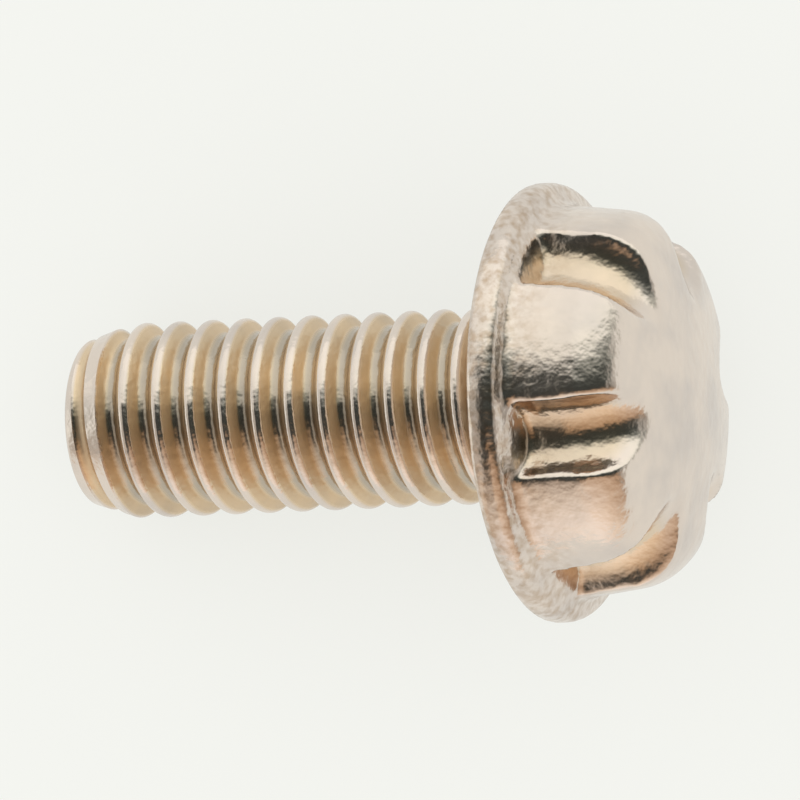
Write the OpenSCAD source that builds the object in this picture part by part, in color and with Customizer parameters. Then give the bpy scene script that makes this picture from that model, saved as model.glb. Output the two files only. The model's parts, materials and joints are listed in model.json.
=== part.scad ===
// Removable security machine screw, forged in one piece: a low domed head with round-bottomed
// drive grooves in its side, a round flange under it and a right-hand threaded shank.
// It lies on a level surface, on the rim of its flange and on the last full turn of its thread.
// Lengths are in millimetres and angles in degrees.

/* [Thread] */
// Diameter over the crests of the thread
thread_d = 3.85; // [3.5:0.05:4.3]
// Distance along the screw from one turn of the thread to the next
thread_pitch = 0.7; // [0.5:0.05:0.9]
// Angle between the two flanks of the thread
thread_angle = 60; // [50:1:65]
// Straight sides in one turn of the thread
thread_sides = 30; // [20:2:40]

/* [Shank] */
// Length from the seat under the flange to the end of the tip
shank_l = 9.5; // [6:0.1:16]
// Length of the plain neck between the seat and the thread
neck_l = 0.8; // [0.5:0.05:1.4]
// How far the neck stands out past the crests of the thread
neck_step = 0.045; // [0.02:0.005:0.1]
// Radius of the fillet between the neck and the seat
neck_fillet = 0.2; // [0.05:0.01:0.35]
// Diameter of the flat end of the tip
tip_d = 3; // [2.6:0.05:3.3]
// Length of the chamfer at the tip
tip_l = 0.75; // [0.3:0.05:1]
// Distance from the chamfer to the last full crest on the side that the screw lies on
last_crest = 0.23; // [0:0.01:0.45]

/* [Flange] */
// Diameter of the flange
flange_d = 8.6; // [8.5:0.1:11]
// Height of the upright rim of the flange
rim_h = 0.53; // [0.36:0.01:0.7]
// Rounding of the two edges of the rim
rim_r = 0.1; // [0.05:0.01:0.18]
// Rise of the flange's top face towards the head
flange_slope = 14; // [0:1:25]
// Radius of the fillet between the flange and the head
flange_fillet = 0.2; // [0.05:0.01:0.22]

/* [Head] */
// Diameter of the head where its side runs into the flange
head_d = 7.7; // [7:0.05:7.8]
// Height of the top of the dome above the seat
head_h = 3.16; // [2.7:0.02:4]
// Lean of the head's side towards the axis
head_draft = 7; // [2:1:12]
// Radius of the domed top
dome_r = 11; // [9:0.1:16]
// Radius of the shoulder between the side and the dome
shoulder_r = 1.1; // [0.6:0.05:1.3]

/* [Drive grooves] */
// Number of grooves around the head
groove_count = 6; // [3:1:8]
// Turn of the first groove from the side that the screw lies on
groove_turn = 10.5; // [0:0.5:60]
// Height of the lower end of the grooves above the foot of the head's side
groove_lift = 0.15; // [0.1:0.01:0.5]
// Radius of the round bottom of a groove
groove_r = 0.8; // [0.6:0.01:0.95]
// Distance from the axis to the groove's floor at its lower end
floor_low_r = 3.17; // [3.05:0.01:3.4]
// Distance from the axis to the groove's floor where it opens in the dome
floor_top_r = 1.96; // [1.8:0.02:2.5]
// Radius of the curve in which the groove's floor runs over to the dome
floor_bend = 2.2; // [2:0.05:4]

/* [Hidden] */

// Smoothness of the turned shapes
$fn = 96;

// Radii of the turned shapes
thread_r = thread_d / 2;
neck_r = thread_r + neck_step;
tip_r = tip_d / 2;
flange_r = flange_d / 2;
head_r = head_d / 2;

// Profile of the thread: flat crests of an eighth of the pitch, and 17/24 of the sharp V's height
crest_w = thread_pitch / 8;
sharp_h = thread_pitch / 2 / tan(thread_angle / 2);
thread_depth = sharp_h * 17 / 24;
root_r = thread_r - thread_depth;
flank_w = thread_depth * tan(thread_angle / 2);

// The helix starts below the tip and ends inside the neck, so that its ends are cut off or hidden
chamfer_z = tip_l - shank_l;
rest_z = chamfer_z + last_crest;
first_crest_z = rest_z + crest_w / 2 - thread_pitch * (ceil(tip_l / thread_pitch) + 2);
thread_turns = ceil((-neck_l - first_crest_z) / thread_pitch) + 1;
thread_steps = thread_turns * thread_sides;

// How far the rounding arcs reach past mere touching, so that they cross the lines at a true angle
arc_overlap = 0.0002;

// Points of one turn's profile, as height above the crest's middle and radius
turn_profile = [
    [-crest_w / 2, thread_r],
    [crest_w / 2, thread_r],
    [crest_w / 2 + flank_w, root_r],
    [thread_pitch - crest_w / 2 - flank_w, root_r],
];

// Where the head's side, drawn down, would meet the flange's top face, drawn in from the rim
side_foot = [head_r, rim_h + (flange_r - head_r) * tan(flange_slope)];
side_normal = [cos(head_draft), sin(head_draft)];
side_up = [-sin(head_draft), cos(head_draft)];

// The shoulder's arc touches the side and the dome
dome_centre = [0, head_h - dome_r];
shoulder_off = (side_foot - dome_centre) * side_normal - shoulder_r;
shoulder_run = sqrt(pow(dome_r - shoulder_r, 2) - pow(shoulder_off, 2));
shoulder_centre = dome_centre + shoulder_off * side_normal + shoulder_run * side_up;
shoulder_low = shoulder_centre + shoulder_r * side_normal;
shoulder_top = dome_centre + (shoulder_centre - dome_centre) * dome_r / (dome_r - shoulder_r);

// The groove's floor runs along an arc from its lower end to the place where it opens in the dome
groove_end = side_foot[1] + groove_lift;
floor_low = [floor_low_r, groove_end];
floor_top = [floor_top_r, dome_centre[1] + sqrt(pow(dome_r, 2) - pow(floor_top_r, 2))];
floor_up = unit(floor_top - floor_low);
floor_inset = sqrt(pow(floor_bend, 2) - pow(norm(floor_top - floor_low) / 2, 2));
bend_centre = (floor_low + floor_top) / 2 + floor_inset * [-floor_up[1], floor_up[0]];

// Tilt of the lying screw, from the round rim and the crest that it rests on
crest_rest_r = thread_r * cos(180 / thread_sides);
rest_drop = flange_r - rim_r - crest_rest_r;
rest_span = rim_r - rest_z;
lie_tilt = atan2(rest_drop, rest_span) + asin(rim_r / norm([rest_drop, rest_span]));
lie_height = (flange_r - rim_r) * cos(lie_tilt) + rim_r * (1 - sin(lie_tilt));

// Turn of the head's start line: the lying screw then rests on a flat of its fine-sided rim, not on a corner
rim_turn = 2.75;

// Ends of the lying screw along the surface: the dome's far side and the tip's upper edge
dome_reach = dome_centre[1] * cos(lie_tilt) + dome_r;
tip_reach = shank_l * cos(lie_tilt) + tip_r * sin(lie_tilt);
lie_shift = (tip_reach - dome_reach) / 2;

function unit(v) = v / norm(v);

// Radius of the chamfer's cone at a height, kept clear of the axis below the tip
function chamfer_r(z) = max(tip_r / 2, tip_r + (z + shank_l) * (thread_r - tip_r) / tip_l);

// Point of the thread at a step of the helix, for one point of the profile
function thread_point(step, place) =
    let (turn = (step + 0.5) / thread_sides)
    let (z = first_crest_z + thread_pitch * turn + place[0])
    let (r = min(place[1], chamfer_r(z)))
    [r * cos(360 * turn), r * sin(360 * turn), z];

// A polygon whose corners, each [x, y, radius], are rounded by true arcs inside or outside
module rounded_polygon(corners) {
    count = len(corners);
    spot = [for (c = corners) [c[0], c[1]]];
    back = [for (i = [0 : count - 1]) unit(spot[(i + count - 1) % count] - spot[i])];
    ahead = [for (i = [0 : count - 1]) unit(spot[(i + 1) % count] - spot[i])];
    half = [for (i = [0 : count - 1]) acos(back[i] * ahead[i]) / 2];
    reach = [for (i = [0 : count - 1]) corners[i][2] / tan(half[i])];
    start = [for (i = [0 : count - 1]) spot[i] + reach[i] * back[i]];
    end = [for (i = [0 : count - 1]) spot[i] + reach[i] * ahead[i]];
    bulge = [for (i = [0 : count - 1]) cross(ahead[i], back[i])];

    module arc_segment(i) {
        intersection() {
            translate(spot[i] + unit(back[i] + ahead[i]) * corners[i][2] / sin(half[i]))
                circle(r = corners[i][2] + arc_overlap);
            polygon([start[i], spot[i], end[i]]);
        }
    }

    difference() {
        union() {
            polygon([for (i = [0 : count - 1]) each corners[i][2] > 0 ? [start[i], end[i]] : [spot[i]]]);
            for (i = [0 : count - 1])
                if (corners[i][2] > 0 && bulge[i] > 0)
                    arc_segment(i);
        }
        for (i = [0 : count - 1])
            if (corners[i][2] > 0 && bulge[i] < 0)
                arc_segment(i);
    }
}

// Half section of the neck, the flange and the head, from the axis outwards
module head_profile() {
    rounded_polygon([
        [0, -neck_l, 0],
        [neck_r, -neck_l, 0],
        [neck_r, 0, neck_fillet],
        [flange_r, 0, rim_r],
        [flange_r, rim_h, rim_r],
        [side_foot[0], side_foot[1], flange_fillet],
        [shoulder_low[0], shoulder_low[1], 0],
        [shoulder_top[0], shoulder_top[1], 0],
        [0, shoulder_top[1], 0],
    ]);
    translate(shoulder_centre)
        circle(r = shoulder_r);
    intersection() {
        translate(dome_centre)
            circle(r = dome_r);
        translate([0, shoulder_top[1]])
            square([shoulder_top[0], head_h]);
    }
}

// One drive groove: a round-bottomed trough along the head's side that bends over to the dome
module drive_groove() {
    intersection() {
        translate([bend_centre[0], 0, bend_centre[1]])
            rotate([90, 180, 0])
                rotate_extrude()
                    translate([floor_bend + groove_r, 0])
                        circle(r = groove_r);
        translate([bend_centre[0], -flange_r, groove_end])
            cube([flange_d, flange_d, head_h]);
    }
}

// The helical thread with its core, closed at both ends by fans to the axis
module thread_body() {
    columns = len(turn_profile);
    last = columns - 1;
    sides = thread_sides;
    steps = thread_steps;
    skin = [for (i = [0 : steps]) for (place = turn_profile) thread_point(i, place)];
    low_pole = len(skin);
    top_pole = low_pole + 1;
    poles = [
        [0, 0, first_crest_z + thread_pitch / 2],
        [0, 0, first_crest_z + thread_pitch * (thread_turns - 0.5)],
    ];
    function at(i, j) = i * columns + j;
    polyhedron(
        points = concat(skin, poles),
        faces = concat(
            [for (i = [0 : steps - 1]) for (j = [0 : last - 1])
                each [[at(i, j), at(i, j + 1), at(i + 1, j + 1)],
                      [at(i, j), at(i + 1, j + 1), at(i + 1, j)]]],
            [for (i = [0 : steps - sides - 1])
                each [[at(i, last), at(i + sides, 0), at(i + 1 + sides, 0)],
                      [at(i, last), at(i + 1 + sides, 0), at(i + 1, last)]]],
            [for (i = [0 : sides - 1]) [low_pole, at(i, 0), at(i + 1, 0)]],
            [for (i = [steps - sides : steps - 1]) [top_pole, at(i + 1, last), at(i, last)]],
            [concat([low_pole, at(sides, 0)], [for (j = [last : -1 : 0]) at(0, j)])],
            [concat([top_pole, at(steps - sides, last)], [for (j = [0 : last]) at(steps, j)])]
        )
    );
}

// The threaded shank, cut flat at the tip
module shank() {
    below = thread_pitch * 4;
    difference() {
        thread_body();
        translate([-flange_r, -flange_r, -shank_l - below])
            cube([flange_d, flange_d, below]);
    }
}

// The whole screw along its own axis, with the seat at zero and the head upwards
module upright_screw() {
    difference() {
        rotate([0, 0, rim_turn])
            rotate_extrude()
                head_profile();
        for (i = [0 : groove_count - 1])
            rotate([0, 0, groove_turn + i * 360 / groove_count])
                drive_groove();
    }
    shank();
}

module screw() {
    color("silver")
        translate([lie_shift, 0, lie_height])
            rotate([0, 90 - lie_tilt, 0])
                upright_screw();
}

screw();
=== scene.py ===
"""A security screw that lies on a pale floor: plated steel, with drive grooves in its domed head."""

import json
import logging
import math
from dataclasses import dataclass, field
from enum import Enum
from typing import Any, Callable, Optional, Sequence

import bpy
from mathutils import Matrix, Vector


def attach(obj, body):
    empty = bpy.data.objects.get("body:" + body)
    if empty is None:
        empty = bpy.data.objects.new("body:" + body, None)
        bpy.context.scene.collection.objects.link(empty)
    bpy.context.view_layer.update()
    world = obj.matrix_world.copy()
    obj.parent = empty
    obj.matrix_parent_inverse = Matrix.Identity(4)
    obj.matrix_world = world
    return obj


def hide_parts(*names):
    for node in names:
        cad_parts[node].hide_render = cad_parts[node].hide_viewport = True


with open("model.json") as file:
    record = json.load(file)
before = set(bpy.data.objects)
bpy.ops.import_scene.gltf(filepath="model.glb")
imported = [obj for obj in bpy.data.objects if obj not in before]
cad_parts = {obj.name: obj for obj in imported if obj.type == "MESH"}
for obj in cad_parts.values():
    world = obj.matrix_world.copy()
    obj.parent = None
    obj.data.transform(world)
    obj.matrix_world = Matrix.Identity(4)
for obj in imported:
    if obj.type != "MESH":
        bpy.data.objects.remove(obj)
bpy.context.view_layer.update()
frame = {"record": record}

LOG = logging.getLogger("security_screw")

# The screw is modelled upright in millimetres, with its seat at zero, and then laid down in metres
MM = 0.001

Point = tuple[float, float]
Ramp = tuple[tuple[float, str], ...]


class Cut(Enum):
    """Ways in which two solids are put together."""

    JOIN = "UNION"
    REMOVE = "DIFFERENCE"
    KEEP = "INTERSECT"


def hex_to_linear(colour: str) -> tuple[float, float, float, float]:
    """Turns an sRGB hex colour into linear light.

    Args:
        colour: Six hex digits, with or without a leading hash sign.

    Returns:
        Linear red, green and blue, and an alpha of 1.
    """
    digits = colour.lstrip("#")
    parts = [int(digits[i : i + 2], 16) / 255 for i in (0, 2, 4)]
    linear = [c / 12.92 if c <= 0.04045 else ((c + 0.055) / 1.055) ** 2.4 for c in parts]
    return (linear[0], linear[1], linear[2], 1.0)


def add_node(
    tree: bpy.types.NodeTree,
    kind: str,
    settings: Optional[dict[str, Any]] = None,
    inputs: Optional[dict[Any, Any]] = None,
) -> bpy.types.Node:
    """Adds a node to a tree, with its settings and its links.

    Args:
        tree: The tree that gets the node.
        kind: Blender's name for the type of node.
        settings: Attributes of the node and their values.
        inputs: Values or output sockets for the node's inputs, by name or number.

    Returns:
        The new node.
    """
    node = tree.nodes.new(kind)
    for name, value in (settings or {}).items():
        setattr(node, name, value)
    for key, value in (inputs or {}).items():
        if isinstance(value, bpy.types.NodeSocket):
            tree.links.new(value, node.inputs[key])
        else:
            node.inputs[key].default_value = value
    return node


def add_noise(tree: bpy.types.NodeTree, size: float, detail: float) -> bpy.types.NodeSocket:
    """Adds a noise of a real size to a material.

    Args:
        tree: The material's tree.
        size: Size of the noise's patches in millimetres.
        detail: Number of finer layers.

    Returns:
        The noise's value.
    """
    place = add_node(tree, "ShaderNodeTexCoord")
    settings = {"Vector": place.outputs["Object"], "Scale": 1 / (size * MM), "Detail": detail}
    return add_node(tree, "ShaderNodeTexNoise", None, settings).outputs["Fac"]


def fill_ramp(ramp: bpy.types.Node, stops: Sequence[tuple[float, Sequence[float]]]) -> None:
    """Gives a colour ramp its stops.

    Args:
        ramp: The ramp's node.
        stops: Place and linear colour of each stop, from low to high.
    """
    elements = ramp.color_ramp.elements
    while len(elements) < len(stops):
        elements.new(0.5)
    for element, (place, colour) in zip(elements, stops):
        element.position = place
        element.color = colour


def deselect_everything() -> None:
    """Leaves edit mode and deselects every object."""
    if bpy.context.object is not None and bpy.context.object.mode != "OBJECT":
        bpy.ops.object.mode_set(mode="OBJECT")
    bpy.ops.object.select_all(action="DESELECT")


def take_up(*pieces: bpy.types.Object) -> None:
    """Selects only these objects and makes the first one active."""
    deselect_everything()
    for piece in pieces:
        piece.select_set(True)
    bpy.context.view_layer.objects.active = pieces[0]


def select_vertices(piece: bpy.types.Object, test: Callable[[Vector], bool]) -> None:
    """Selects, in edit mode, the vertices that pass a test of their place.

    Args:
        piece: The mesh object that is being edited.
        test: Says whether a vertex at that place is taken.
    """
    bpy.ops.mesh.select_mode(type="VERT")
    bpy.ops.mesh.select_all(action="DESELECT")
    bpy.ops.object.mode_set(mode="OBJECT")
    for vertex in piece.data.vertices:
        vertex.select = test(vertex.co)
    bpy.ops.object.mode_set(mode="EDIT")


def apply_modifier(piece: bpy.types.Object, kind: str, **settings: Any) -> None:
    """Gives an object a modifier and applies it.

    Args:
        piece: The object.
        kind: Blender's name for the type of modifier.
        **settings: The modifier's values.
    """
    take_up(piece)
    modifier = piece.modifiers.new(kind.lower(), kind)
    for name, value in settings.items():
        setattr(modifier, name, value)
    bpy.ops.object.modifier_apply(modifier=modifier.name)


def combine(piece: bpy.types.Object, other: bpy.types.Object, cut: Cut) -> None:
    """Joins, cuts or trims one solid with another, which is used up.

    Args:
        piece: The solid that is changed.
        other: The solid that changes it.
        cut: How the two are put together.
    """
    apply_modifier(piece, "BOOLEAN", operation=cut.value, object=other, solver="EXACT")
    bpy.data.objects.remove(other)


def trace(name: str, points: Sequence[Point]) -> bpy.types.Object:
    """Draws a chain of edges in the XZ plane by extruding one vertex from point to point.

    Args:
        name: Name of the new object.
        points: Radius and height of each point.

    Returns:
        The object, in edit mode with its chain selected.
    """
    deselect_everything()
    bpy.ops.mesh.primitive_plane_add(size=1.0)
    piece = bpy.context.object
    piece.name = name
    bpy.ops.object.mode_set(mode="EDIT")
    bpy.ops.mesh.select_mode(type="VERT")
    bpy.ops.mesh.select_all(action="SELECT")
    bpy.ops.mesh.merge(type="CENTER")
    bpy.ops.transform.translate(value=(points[0][0], 0.0, points[0][1]))
    for before, after in zip(points, points[1:]):
        step = (after[0] - before[0], 0.0, after[1] - before[1])
        bpy.ops.mesh.extrude_region_move(TRANSFORM_OT_translate={"value": step})
    bpy.ops.mesh.select_all(action="SELECT")
    return piece


def turn(name: str, points: Sequence[Point], steps: int) -> bpy.types.Object:
    """Turns a profile about the Z axis, as on a lathe.

    Args:
        name: Name of the new object.
        points: Radius and height of each point, from axis to axis.
        steps: Number of sides of the turned solid.

    Returns:
        The closed solid, in object mode.
    """
    piece = trace(name, points)
    bpy.ops.mesh.spin(steps=steps, angle=math.tau, center=(0, 0, 0), axis=(0, 0, 1))
    bpy.ops.mesh.select_all(action="SELECT")
    bpy.ops.mesh.remove_doubles(threshold=1e-4)
    bpy.ops.mesh.normals_make_consistent(inside=False)
    bpy.ops.object.mode_set(mode="OBJECT")
    return piece


def arc(centre: Point, radius: float, start: float, end: float, count: int) -> list[Point]:
    """Points along an arc.

    Args:
        centre: Middle of the arc.
        radius: Radius of the arc.
        start: Angle of the first point, in degrees from the radial direction.
        end: Angle of the last point, in degrees.
        count: Number of steps between them.

    Returns:
        The points, both ends included.
    """
    angles = [math.radians(start + (end - start) * i / count) for i in range(count + 1)]
    return [(centre[0] + radius * math.cos(a), centre[1] + radius * math.sin(a)) for a in angles]


def rounded(corners: Sequence[tuple[float, float, float]], count: int = 6) -> list[Point]:
    """Rounds the corners of a chain of straight lines.

    Args:
        corners: Radius and height of each corner, and the radius of its rounding.
        count: Number of steps in each rounding.

    Returns:
        The points of the rounded chain.
    """
    points: list[Point] = []
    for i, (x, z, r) in enumerate(corners):
        if r == 0:
            points.append((x, z))
            continue
        spot = Vector((x, z))
        back = (Vector(corners[i - 1][:2]) - spot).normalized()
        ahead = (Vector(corners[i + 1][:2]) - spot).normalized()
        half = back.angle(ahead) / 2
        middle = spot + (back + ahead).normalized() * r / math.sin(half)
        first = spot + back * r / math.tan(half) - middle
        last = spot + ahead * r / math.tan(half) - middle
        start = math.degrees(math.atan2(first.y, first.x))
        sweep = (math.degrees(math.atan2(last.y, last.x)) - start + 180) % 360 - 180
        points += arc((middle.x, middle.y), r, start, start + sweep, count)
    return points


@dataclass
class ThreadedShank:
    """The right-hand thread with its chamfered tip.

    The helix starts some turns below the tip, and the blank that trims it is larger by a spare
    length. The roundings are kept a hair too small to touch each other.
    """

    crest_r: float = 1.925
    pitch: float = 0.7
    length: float = 9.5
    tip_r: float = 1.62
    chamfer: float = 0.94
    rest_crest: float = -8.52
    crest_round: float = 0.13
    root_round: float = 0.17
    tip_round: float = 0.12
    sides: int = 96
    blank_sides: int = 128
    turns: int = 17
    turns_below: int = 4
    spare: float = 0.4
    snug: float = 0.999

    @property
    def depth(self) -> float:
        """Height of the thread from root to crest."""
        return (self.pitch / 2) * math.sqrt(3) - self.crest_round - self.root_round

    @property
    def rise(self) -> float:
        """Slope of the tip's chamfer, as radius per length."""
        return (self.crest_r - self.tip_r) / self.chamfer

    def crest_at(self, height: float) -> float:
        """Radius over the crests at a height, which shrinks on the tip's chamfer.

        Args:
            height: Height above the seat, so under zero on the shank.

        Returns:
            The radius.
        """
        return min(self.crest_r, self.tip_r + (height + self.length) * self.rise)

    def profile(self) -> list[Point]:
        """Rounded profile of one turn, from root to root.

        Returns:
            Radius and height of each point.
        """
        crest = 2 * self.crest_round * math.tan(math.radians(30))
        root = 2 * self.root_round * math.tan(math.radians(30))
        flank = (self.pitch - crest - root) / 2
        low = self.rest_crest + self.pitch / 16 - self.turns_below * self.pitch
        root_r = self.crest_r - self.depth
        crest_arc = self.crest_round * self.snug
        root_arc = self.root_round * self.snug
        lines = [
            (root_r, low - crest / 2 - flank - root / 2, 0.0),
            (root_r, low - crest / 2 - flank, root_arc),
            (self.crest_r, low - crest / 2, crest_arc),
            (self.crest_r, low + crest / 2, crest_arc),
            (root_r, low + crest / 2 + flank, root_arc),
            (root_r, low + crest / 2 + flank + root / 2, 0.0),
        ]
        return rounded(lines, 4)

    def build(self) -> bpy.types.Object:
        """Winds the profile into a helix, closes its ends and trims the tip.

        Returns:
            The closed shank.
        """
        piece = trace("shank", self.profile())
        bpy.ops.object.mode_set(mode="OBJECT")
        apply_modifier(
            piece,
            "SCREW",
            axis="Z",
            angle=math.tau,
            screw_offset=self.pitch,
            iterations=self.turns,
            steps=self.sides,
            render_steps=self.sides,
            use_merge_vertices=False,
        )
        bpy.ops.object.mode_set(mode="EDIT")
        bpy.ops.mesh.select_all(action="SELECT")
        bpy.ops.mesh.remove_doubles(threshold=1e-4)
        self.close_end(piece, upper=False)
        self.close_end(piece, upper=True)
        bpy.ops.mesh.select_all(action="SELECT")
        bpy.ops.mesh.normals_make_consistent(inside=False)
        bpy.ops.object.mode_set(mode="OBJECT")
        combine(piece, self.envelope(), Cut.KEEP)
        return piece

    def close_end(self, piece: bpy.types.Object, upper: bool) -> None:
        """Closes one open end of the helix by a fan to the axis.

        Args:
            piece: The helix, in edit mode.
            upper: True for the end near the head.
        """
        middle = self.rest_crest - self.turns_below * self.pitch + self.turns * self.pitch / 2
        bpy.ops.mesh.select_mode(type="VERT")
        bpy.ops.mesh.select_all(action="DESELECT")
        bpy.ops.mesh.select_non_manifold(extend=False, use_boundary=True, use_wire=False,
                                         use_multi_face=False, use_non_contiguous=False, use_verts=False)
        bpy.ops.object.mode_set(mode="OBJECT")
        rim = [v for v in piece.data.vertices if v.select and (v.co.z > middle) == upper]
        for vertex in piece.data.vertices:
            vertex.select = False
        for edge in piece.data.edges:
            edge.select = False
        for polygon in piece.data.polygons:
            polygon.select = False
        for vertex in rim:
            vertex.select = True
        chosen = {v.index for v in rim}
        faces_of: dict[tuple[int, int], int] = {}
        for polygon in piece.data.polygons:
            for key in polygon.edge_keys:
                faces_of[key] = faces_of.get(key, 0) + 1
        for edge in piece.data.edges:
            edge.select = faces_of.get(edge.key, 0) == 1 and set(edge.vertices) <= chosen
        bpy.ops.object.mode_set(mode="EDIT")
        bpy.ops.mesh.select_mode(type="EDGE")
        bpy.ops.mesh.extrude_edges_move()
        bpy.ops.mesh.merge(type="CENTER")

    def envelope(self) -> bpy.types.Object:
        """The turned blank that trims the helix to its chamfered tip and its length.

        Returns:
            The closed blank.
        """
        outer = self.crest_r + self.spare
        lines = [
            (0.0, -self.length, 0.0),
            (self.tip_r, -self.length, self.tip_round),
            (outer, -self.length + (outer - self.tip_r) / self.rise, 0.0),
            (outer, self.spare, 0.0),
            (0.0, self.spare, 0.0),
        ]
        return turn("envelope", rounded(lines), self.blank_sides)


@dataclass
class GroovedHead:
    """The domed head with its drive grooves, the flange and the neck under it."""

    neck_r: float = 1.97
    neck_l: float = 0.8
    neck_fillet: float = 0.2
    flange_r: float = 4.3
    rim_h: float = 0.53
    rim_low_r: float = 0.1
    rim_top_r: float = 0.24
    flange_slope: float = 14.0
    flange_fillet: float = 0.26
    head_r: float = 3.85
    height: float = 3.16
    draft: float = 7.0
    dome_r: float = 11.0
    shoulder_r: float = 1.1
    groove_count: int = 6
    groove_turn: float = 10.5
    groove_end: float = 0.69
    end_slope: float = 16.0
    groove_r: float = 0.8
    floor_low_r: float = 3.17
    floor_top_r: float = 1.96
    floor_bend: float = 2.2
    sides: int = 192
    voxel: float = 0.065
    softening: int = 14

    def corners(self) -> tuple[Vector, Vector, Vector, Vector]:
        """Finds the shoulder's arc, which touches the head's side and the dome.

        Returns:
            Foot and outward normal of the side, centre of the dome and centre of the shoulder.
        """
        draft = math.radians(self.draft)
        rise = (self.flange_r - self.head_r) * math.tan(math.radians(self.flange_slope))
        foot = Vector((self.head_r, self.rim_h + rise))
        outward = Vector((math.cos(draft), math.sin(draft)))
        upward = Vector((-math.sin(draft), math.cos(draft)))
        dome = Vector((0.0, self.height - self.dome_r))
        off = (foot - dome).dot(outward) - self.shoulder_r
        run = math.sqrt((self.dome_r - self.shoulder_r) ** 2 - off**2)
        return foot, outward, dome, dome + off * outward + run * upward

    def profile(self) -> list[Point]:
        """Half section of the neck, the flange and the head.

        Returns:
            Radius and height of each point, from axis to axis.
        """
        foot, outward, dome, shoulder = self.corners()
        dome_edge = math.degrees(math.atan2(shoulder.y - dome.y, shoulder.x - dome.x))
        low = shoulder + self.shoulder_r * outward
        lower = rounded([
            (0.0, -self.neck_l, 0.0),
            (self.neck_r, -self.neck_l, 0.0),
            (self.neck_r, 0.0, self.neck_fillet),
            (self.flange_r, 0.0, self.rim_low_r),
            (self.flange_r, self.rim_h, self.rim_top_r),
            (foot.x, foot.y, self.flange_fillet),
            (low.x, low.y, 0.0),
        ])
        round_part = arc((shoulder.x, shoulder.y), self.shoulder_r, self.draft, dome_edge, 10)
        dome_part = arc((dome.x, dome.y), self.dome_r, dome_edge, 90.0, 24)
        return lower[:-1] + round_part + dome_part[1:]

    def depth_at(self, radius: float, height: float) -> float:
        """How deep a point lies under the turned shape of the head, before it was grooved.

        Args:
            radius: Distance of the point from the axis.
            height: Height of the point above the seat.

        Returns:
            The depth, under zero outside the turned shape.
        """
        foot, outward, dome, shoulder = self.corners()
        place = Vector((radius, height))
        under_side = (foot - place).dot(outward)
        under_dome = self.dome_r - (place - dome).length
        off = place - shoulder
        past_side = outward.x * off.y - outward.y * off.x > 0
        before_dome = (shoulder - dome).x * off.y - (shoulder - dome).y * off.x < 0
        if past_side and before_dome:
            return self.shoulder_r - off.length
        return min(under_side, under_dome)

    def groove_tool(self, number: int) -> bpy.types.Object:
        """The solid that cuts one groove: a round bar, bent over the head along the groove's floor.

        Args:
            number: Which groove around the head.

        Returns:
            The closed tool.
        """
        low = Vector((self.floor_low_r, self.groove_end))
        top_z = self.height - self.dome_r + math.sqrt(self.dome_r**2 - self.floor_top_r**2)
        chord = Vector((self.floor_top_r, top_z)) - low
        inward = Vector((-chord.y, chord.x)).normalized()
        middle = low + chord / 2 + inward * math.sqrt(self.floor_bend**2 - chord.length_squared / 4)
        deselect_everything()
        bpy.ops.mesh.primitive_torus_add(
            major_radius=self.floor_bend + self.groove_r,
            minor_radius=self.groove_r,
            major_segments=256,
            minor_segments=96,
        )
        tool = bpy.context.object
        bpy.ops.object.mode_set(mode="EDIT")
        bpy.ops.mesh.select_all(action="SELECT")
        bpy.ops.transform.rotate(value=math.pi / 2, orient_axis="X", center_override=(0.0, 0.0, 0.0))
        bpy.ops.transform.translate(value=(middle.x, 0.0, middle.y))
        bpy.ops.object.mode_set(mode="OBJECT")
        reach = 2 * self.flange_r
        bpy.ops.mesh.primitive_cube_add(size=1.0)
        keep = bpy.context.object
        bpy.ops.object.mode_set(mode="EDIT")
        bpy.ops.mesh.select_all(action="SELECT")
        bpy.ops.transform.resize(value=(reach, reach, reach))
        bpy.ops.transform.translate(value=(middle.x + reach / 2, 0.0, self.groove_end + reach / 2))
        slope = math.tan(math.radians(self.end_slope))
        select_vertices(keep, lambda place: place.z < reach / 2 and place.x < reach / 2)
        bpy.ops.transform.translate(value=(0.0, 0.0, (self.head_r - middle.x) * slope))
        select_vertices(keep, lambda place: place.z < reach / 2 and place.x > reach / 2)
        bpy.ops.transform.translate(value=(0.0, 0.0, (self.head_r - middle.x - reach) * slope))
        bpy.ops.object.mode_set(mode="OBJECT")
        combine(tool, keep, Cut.KEEP)
        tool.rotation_euler.z = math.radians(self.groove_turn + number * 360 / self.groove_count)
        take_up(tool)
        bpy.ops.object.transform_apply(location=False, rotation=True, scale=False)
        return tool

    def build(self) -> bpy.types.Object:
        """Turns the blank, cuts the grooves and softens the forged edges.

        Returns:
            The closed head.
        """
        piece = turn("head", self.profile(), self.sides)
        for number in range(self.groove_count):
            combine(piece, self.groove_tool(number), Cut.REMOVE)
        apply_modifier(piece, "REMESH", mode="VOXEL", voxel_size=self.voxel)
        apply_modifier(piece, "SMOOTH", factor=0.5, iterations=self.softening)
        return piece


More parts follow.
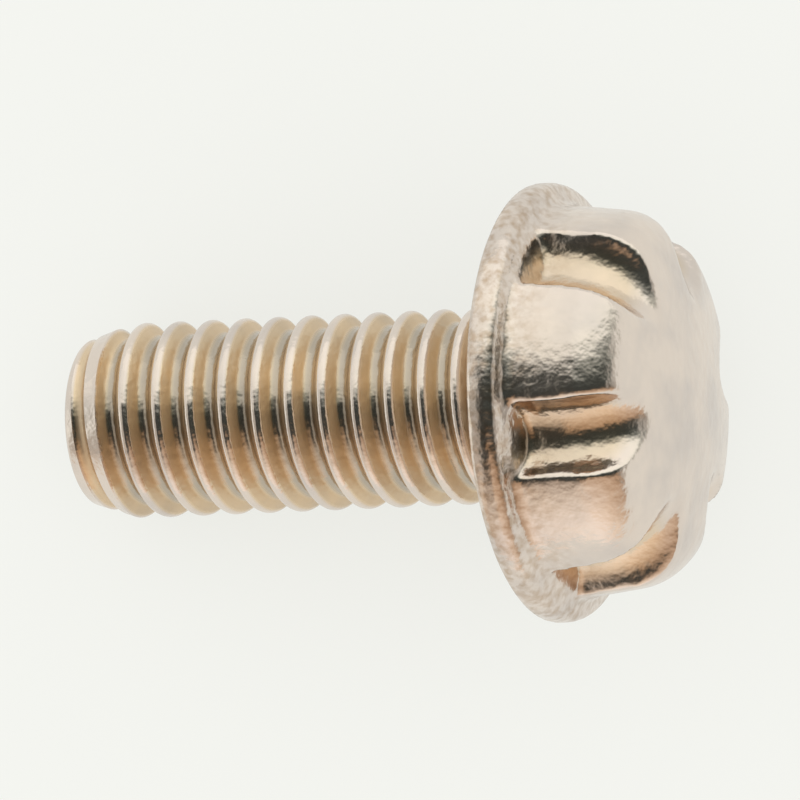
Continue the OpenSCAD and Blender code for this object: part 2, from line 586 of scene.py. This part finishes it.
@dataclass(frozen=True)
class PlatedSteel:
    """Bright plated steel, cold-headed and thread-rolled.

    The plating is a pale warm grey with a low, slightly uneven gloss. The recesses get painted shade:
    a brown tint, darker at the thread's roots. At the flange there are small faint stains.
    """

    slot: str = "plated_steel"
    # Painted shade by recess depth: brown in the grooves and on the thread's flanks, darker at its roots
    recess_shade_colours: Ramp = (
        (0.0, "E4D7CC"),
        (0.06, "E4D7CC"),
        (0.2, "E0C9AA"),
        (0.8, "DFC7A6"),
        (0.97, "BCB0A0"),
    )
    depth_roughness: tuple[Point, ...] = (
        (0.0, 0.2),
        (0.17, 0.2),
        (0.3, 0.42),
        (0.75, 0.42),
        (0.92, 0.22),
    )
    cloud: float = 1.1
    cloud_colour: str = "EEF0F4"
    stain: float = 0.18
    stain_colour: str = "DCD0C2"
    patches: Point = (0.4, 0.7)
    grain: float = 0.24
    grain_height: float = 0.02

    def make(self) -> bpy.types.Material:
        """Makes the material.

        Returns:
            The new material.
        """
        material = bpy.data.materials.new("bright_plated_steel")
        material.use_nodes = True
        tree = material.node_tree
        shader = tree.nodes["Principled BSDF"]
        recess = add_node(tree, "ShaderNodeAttribute", {"attribute_name": "recess"})
        # Painted shade: the recess depth picks the plating's colour from this ramp
        painted_shade = add_node(tree, "ShaderNodeValToRGB", None, {0: recess.outputs["Fac"]})
        fill_ramp(painted_shade, [(where, hex_to_linear(shade)) for where, shade in self.recess_shade_colours])
        span = {"From Min": self.patches[0], "From Max": self.patches[1]}
        clouds = {"Value": add_noise(tree, self.cloud, 3.0), **span}
        share = add_node(tree, "ShaderNodeMapRange", None, clouds)
        colour = add_node(
            tree,
            "ShaderNodeMix",
            {"data_type": "RGBA", "blend_type": "MULTIPLY"},
            {0: share.outputs[0], 6: painted_shade.outputs["Color"], 7: hex_to_linear(self.cloud_colour)},
        )
        foot = add_node(tree, "ShaderNodeAttribute", {"attribute_name": "foot"})
        stains = {"Value": add_noise(tree, self.stain, 4.0), **span, "To Max": foot.outputs["Fac"]}
        strength = add_node(tree, "ShaderNodeMapRange", None, stains)
        stained = add_node(
            tree,
            "ShaderNodeMix",
            {"data_type": "RGBA", "blend_type": "MULTIPLY"},
            {0: strength.outputs[0], 6: colour.outputs[2], 7: hex_to_linear(self.stain_colour)},
        )
        tree.links.new(stained.outputs[2], shader.inputs["Base Color"])
        dull = add_node(tree, "ShaderNodeValToRGB", None, {0: recess.outputs["Fac"]})
        fill_ramp(dull, [(where, (level, level, level, 1.0)) for where, level in self.depth_roughness])
        tree.links.new(dull.outputs["Color"], shader.inputs["Roughness"])
        shader.inputs["Metallic"].default_value = 1.0
        grain = {"Height": add_noise(tree, self.grain, 2.0), "Distance": self.grain_height * MM}
        bump = add_node(tree, "ShaderNodeBump", None, grain)
        tree.links.new(bump.outputs["Normal"], shader.inputs["Normal"])
        return material


@dataclass
class SecurityScrew:
    """The whole screw, laid down where the frame says.

    The painted shade in the grooves grows with their depth up to a limit. The margins keep the tip's
    flat end free of painted shade and let it reach the grooves' ends.
    """

    head: GroovedHead = field(default_factory=GroovedHead)
    shank: ThreadedShank = field(default_factory=ThreadedShank)
    finish: PlatedSteel = field(default_factory=PlatedSteel)
    # Painted shade in the grooves: its limit, and how fast it grows with depth under the turned head
    groove_shade: float = 0.15
    shade_growth: float = 0.4
    tip_margin: float = 0.03
    groove_margin: float = 0.05
    smooth_angle: float = 40.0

    def place(self) -> Matrix:
        """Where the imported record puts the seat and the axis.

        Returns:
            The matrix from the upright screw in millimetres to the frame in metres.
        """
        seat = next(m for m in frame["record"]["mounts"] if m["name"] == "seat")
        to_tip = Vector(seat["axis"])
        tilt = math.atan2(-to_tip.z, -to_tip.x)
        spot = Vector((seat["pos_m"][0], 0.0, seat["pos_m"][2]))
        lean = Matrix.Rotation(math.pi / 2 - tilt, 3, "Y")
        return Matrix.LocRotScale(spot, lean.to_quaternion(), (MM,) * 3)

    def build(self) -> bpy.types.Object:
        """Models the screw, lays it down and dresses it.

        Returns:
            The finished piece.
        """
        piece = self.head.build()
        combine(piece, self.shank.build(), Cut.JOIN)
        piece.name = piece.data.name = "security_screw"
        self.mark_places(piece)
        take_up(piece)
        piece.matrix_world = self.place()
        bpy.ops.object.transform_apply(location=True, rotation=True, scale=True)
        bpy.ops.object.shade_smooth_by_angle(angle=math.radians(self.smooth_angle))
        piece.data.materials.clear()
        piece.data.materials.append(self.finish.make())
        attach(piece, "root")
        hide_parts("screw")
        return piece

    def mark_places(self, piece: bpy.types.Object) -> None:
        """Stores how deep each vertex lies in the thread or in a groove, and how near to the flange.

        Args:
            piece: The upright screw.
        """
        piece.data.attributes.new("recess", "FLOAT", "POINT")
        piece.data.attributes.new("foot", "FLOAT", "POINT")
        recess = piece.data.attributes["recess"].data
        foot = piece.data.attributes["foot"].data
        for vertex in piece.data.vertices:
            radius = math.hypot(vertex.co.x, vertex.co.y)
            depth = 0.0
            if self.tip_margin - self.shank.length < vertex.co.z < -self.head.neck_l:
                depth = (self.shank.crest_at(vertex.co.z) - radius) / self.shank.depth
            elif vertex.co.z > self.head.groove_end - self.groove_margin:
                under = self.head.depth_at(radius, vertex.co.z)
                # Painted shade: the groove's depth under the turned head, capped, picks the darker,
                # browner plating
                depth = min(self.groove_shade, self.shade_growth * under)
            recess[vertex.index].value = min(1.0, max(0.0, depth))
            above = vertex.co.z - self.head.rim_h
            foot[vertex.index].value = min(1.0, max(0.0, 1 - above)) if vertex.co.z > 0 else 0.0


@dataclass
class Studio:
    """The pale floor, the soft light and the camera.

    The room's colours run from low to high Y. Each pair of X limits says where one side of the
    room passes into the next.
    """

    floor_colour: str = "F5F6F1"
    floor_size: float = 0.6
    floor_glow: float = 0.75
    camera_tip: float = 21.5
    camera_roll: float = 2.5
    seat_pixel: Point = (544.0, 403.2)
    pixels_per_mm: float = 51.2
    image: float = 800.0
    distance: float = 0.3
    room_right: Ramp = (
        (-1.0, "FBF2EA"),
        (-0.9, "EDDCCB"),
        (-0.7, "D2BBA4"),
        (-0.42, "B09378"),
        (-0.22, "2C302C"),
        (0.2, "2E3431"),
        (0.36, "8C918B"),
        (0.54, "FAFCF4"),
        (1.0, "FFFFFA"),
    )
    room_left: Ramp = (
        (-1.0, "F8F0E8"),
        (-0.85, "DCCFC0"),
        (-0.68, "A8998A"),
        (-0.48, "33322D"),
        (0.28, "2C302D"),
        (0.5, "F0F0E8"),
        (1.0, "FAFAF4"),
    )
    room_edge: Ramp = (
        (-0.6, "DCCFC0"),
        (-0.4, "B4ACA2"),
        (0.0, "A6A49E"),
        (0.4, "E4E4DE"),
        (0.6, "F2F2EC"),
    )
    room_horizon: str = "F4F6F0"
    room_level: float = 1.2
    left_limits: Point = (0.1, -0.25)
    far_left_limits: Point = (-0.46, -0.64)
    right_end_limits: Point = (0.9, 0.99)
    left_end_limits: Point = (-0.93, -0.98)
    sensor: float = 36.0
    clip: Point = (0.01, 10.0)

    def floor(self) -> bpy.types.Object:
        """Lays the floor.

        Returns:
            The floor.
        """
        deselect_everything()
        bpy.ops.mesh.primitive_plane_add(size=self.floor_size)
        floor = bpy.context.object
        floor.name = "floor"
        material = bpy.data.materials.new("matt_white_board")
        material.use_nodes = True
        tree = material.node_tree
        shader = tree.nodes["Principled BSDF"]
        shader.inputs["Base Color"].default_value = hex_to_linear(self.floor_colour)
        shader.inputs["Roughness"].default_value = 1.0
        shader.inputs["Specular IOR Level"].default_value = 0.0
        path = add_node(tree, "ShaderNodeLightPath")
        seen = add_node(
            tree,
            "ShaderNodeMath",
            {"operation": "MAXIMUM"},
            {0: path.outputs["Is Camera Ray"], 1: path.outputs["Is Glossy Ray"]},
        )
        share = add_node(
            tree,
            "ShaderNodeMath",
            {"operation": "MULTIPLY"},
            {0: seen.outputs[0], 1: self.floor_glow},
        )
        glow = add_node(tree, "ShaderNodeEmission", None, {"Color": hex_to_linear(self.floor_colour)})
        mixed = add_node(
            tree,
            "ShaderNodeMixShader",
            None,
            {0: share.outputs[0], 1: shader.outputs[0], 2: glow.outputs[0]},
        )
        tree.links.new(mixed.outputs[0], tree.nodes["Material Output"].inputs["Surface"])
        floor.data.materials.append(material)
        return floor

    def across_room(
        self,
        tree: bpy.types.NodeTree,
        where: bpy.types.NodeSocket,
        stops: Ramp,
    ) -> bpy.types.NodeSocket:
        """Colours one side of the room from its low to its high Y.

        Args:
            tree: The world's node tree.
            where: The Y part of the direction.
            stops: Places and colours.

        Returns:
            The colour's socket.
        """
        span = {"Value": where, "From Min": -1.0, "From Max": 1.0}
        share = add_node(tree, "ShaderNodeMapRange", None, span)
        ramp = add_node(tree, "ShaderNodeValToRGB", None, {0: share.outputs[0]})
        fill_ramp(ramp, [((place + 1) / 2, hex_to_linear(colour)) for place, colour in stops])
        return ramp.outputs["Color"]

    def blend(
        self,
        tree: bpy.types.NodeTree,
        where: bpy.types.NodeSocket,
        limits: Point,
        near: bpy.types.NodeSocket,
        far: Any,
    ) -> bpy.types.NodeSocket:
        """Passes from one colour to another between two places.

        Args:
            tree: The world's node tree.
            where: The part of the direction that decides.
            limits: Where the first colour ends and where the second begins.
            near: The first colour.
            far: The second colour.

        Returns:
            The blended colour's socket.
        """
        share = add_node(
            tree,
            "ShaderNodeMapRange",
            {"interpolation_type": "SMOOTHSTEP"},
            {"Value": where, "From Min": limits[0], "From Max": limits[1]},
        )
        ends = {0: share.outputs[0], 6: near, 7: far}
        return add_node(tree, "ShaderNodeMix", {"data_type": "RGBA"}, ends).outputs[2]

    def world(self) -> None:
        """Lights the scene from all around."""
        world = bpy.data.worlds.new("soft_studio")
        world.use_nodes = True
        tree = world.node_tree
        direction = add_node(tree, "ShaderNodeTexCoord")
        split = add_node(tree, "ShaderNodeSeparateXYZ", None, {0: direction.outputs["Generated"]})
        left = self.across_room(tree, split.outputs["Y"], self.room_left)
        right = self.across_room(tree, split.outputs["Y"], self.room_right)
        edge = self.across_room(tree, split.outputs["Y"], self.room_edge)
        both = self.blend(tree, split.outputs["X"], self.left_limits, right, left)
        far = self.blend(tree, split.outputs["X"], self.far_left_limits, both, edge)
        ends = self.blend(tree, split.outputs["X"], self.right_end_limits, far, edge)
        horizon = hex_to_linear(self.room_horizon)
        sides = self.blend(tree, split.outputs["X"], self.left_end_limits, ends, horizon)
        path = add_node(tree, "ShaderNodeLightPath")
        level = add_node(
            tree,
            "ShaderNodeMix",
            {"data_type": "RGBA", "blend_type": "MULTIPLY", "clamp_result": False},
            {0: 1.0, 6: sides, 7: (self.room_level,) * 3 + (1.0,)},
        )
        sight = add_node(
            tree,
            "ShaderNodeMix",
            {"data_type": "RGBA"},
            {0: path.outputs["Is Glossy Ray"], 6: (1.0, 1.0, 1.0, 1.0), 7: level.outputs[2]},
        )
        tree.links.new(sight.outputs[2], tree.nodes["Background"].inputs["Color"])
        bpy.context.scene.world = world

    def camera(self, place: Matrix) -> bpy.types.Object:
        """Sets up the camera at the photograph's viewing angle.

        Args:
            place: The matrix that lays the screw down.

        Returns:
            The camera.
        """
        axis = place.to_3x3().normalized() @ Vector((0.0, 0.0, 1.0))
        tilt = math.atan2(axis.z, axis.x)
        rise = math.pi / 2 - math.radians(self.camera_tip) + tilt
        roll = math.radians(self.camera_roll)
        right = Vector((math.sin(rise), 0.0, -math.cos(rise)))
        up = Vector((0.0, 1.0, 0.0))
        view = Vector((math.cos(rise), 0.0, math.sin(rise)))
        across = right * math.cos(roll) - up * math.sin(roll)
        upward = right * math.sin(roll) + up * math.cos(roll)
        scale = MM / self.pixels_per_mm
        half = self.image / 2
        aim = place.translation + across * (half - self.seat_pixel[0]) * scale
        aim += upward * (self.seat_pixel[1] - half) * scale
        data = bpy.data.cameras.new("camera")
        data.sensor_width = self.sensor
        data.lens = self.sensor * self.distance / (self.image * scale)
        data.clip_start, data.clip_end = self.clip
        camera = bpy.data.objects.new("camera", data)
        bpy.context.scene.collection.objects.link(camera)
        turn_to = Matrix((across, upward, view)).transposed()
        camera.matrix_world = Matrix.Translation(aim + view * self.distance) @ turn_to.to_4x4()
        bpy.context.scene.camera = camera
        return camera


def main() -> None:
    """Builds the screw and the studio."""
    logging.basicConfig(level=logging.INFO, format="%(name)s: %(message)s")
    bpy.context.scene.view_settings.view_transform = "Standard"
    screw = SecurityScrew()
    piece = screw.build()
    LOG.info("%s has %d faces", piece.name, len(piece.data.polygons))
    studio = Studio()
    LOG.info("%s is laid", studio.floor().name)
    studio.world()
    LOG.info("%s is set up", studio.camera(screw.place()).name)


if __name__ == "__main__":
    main()
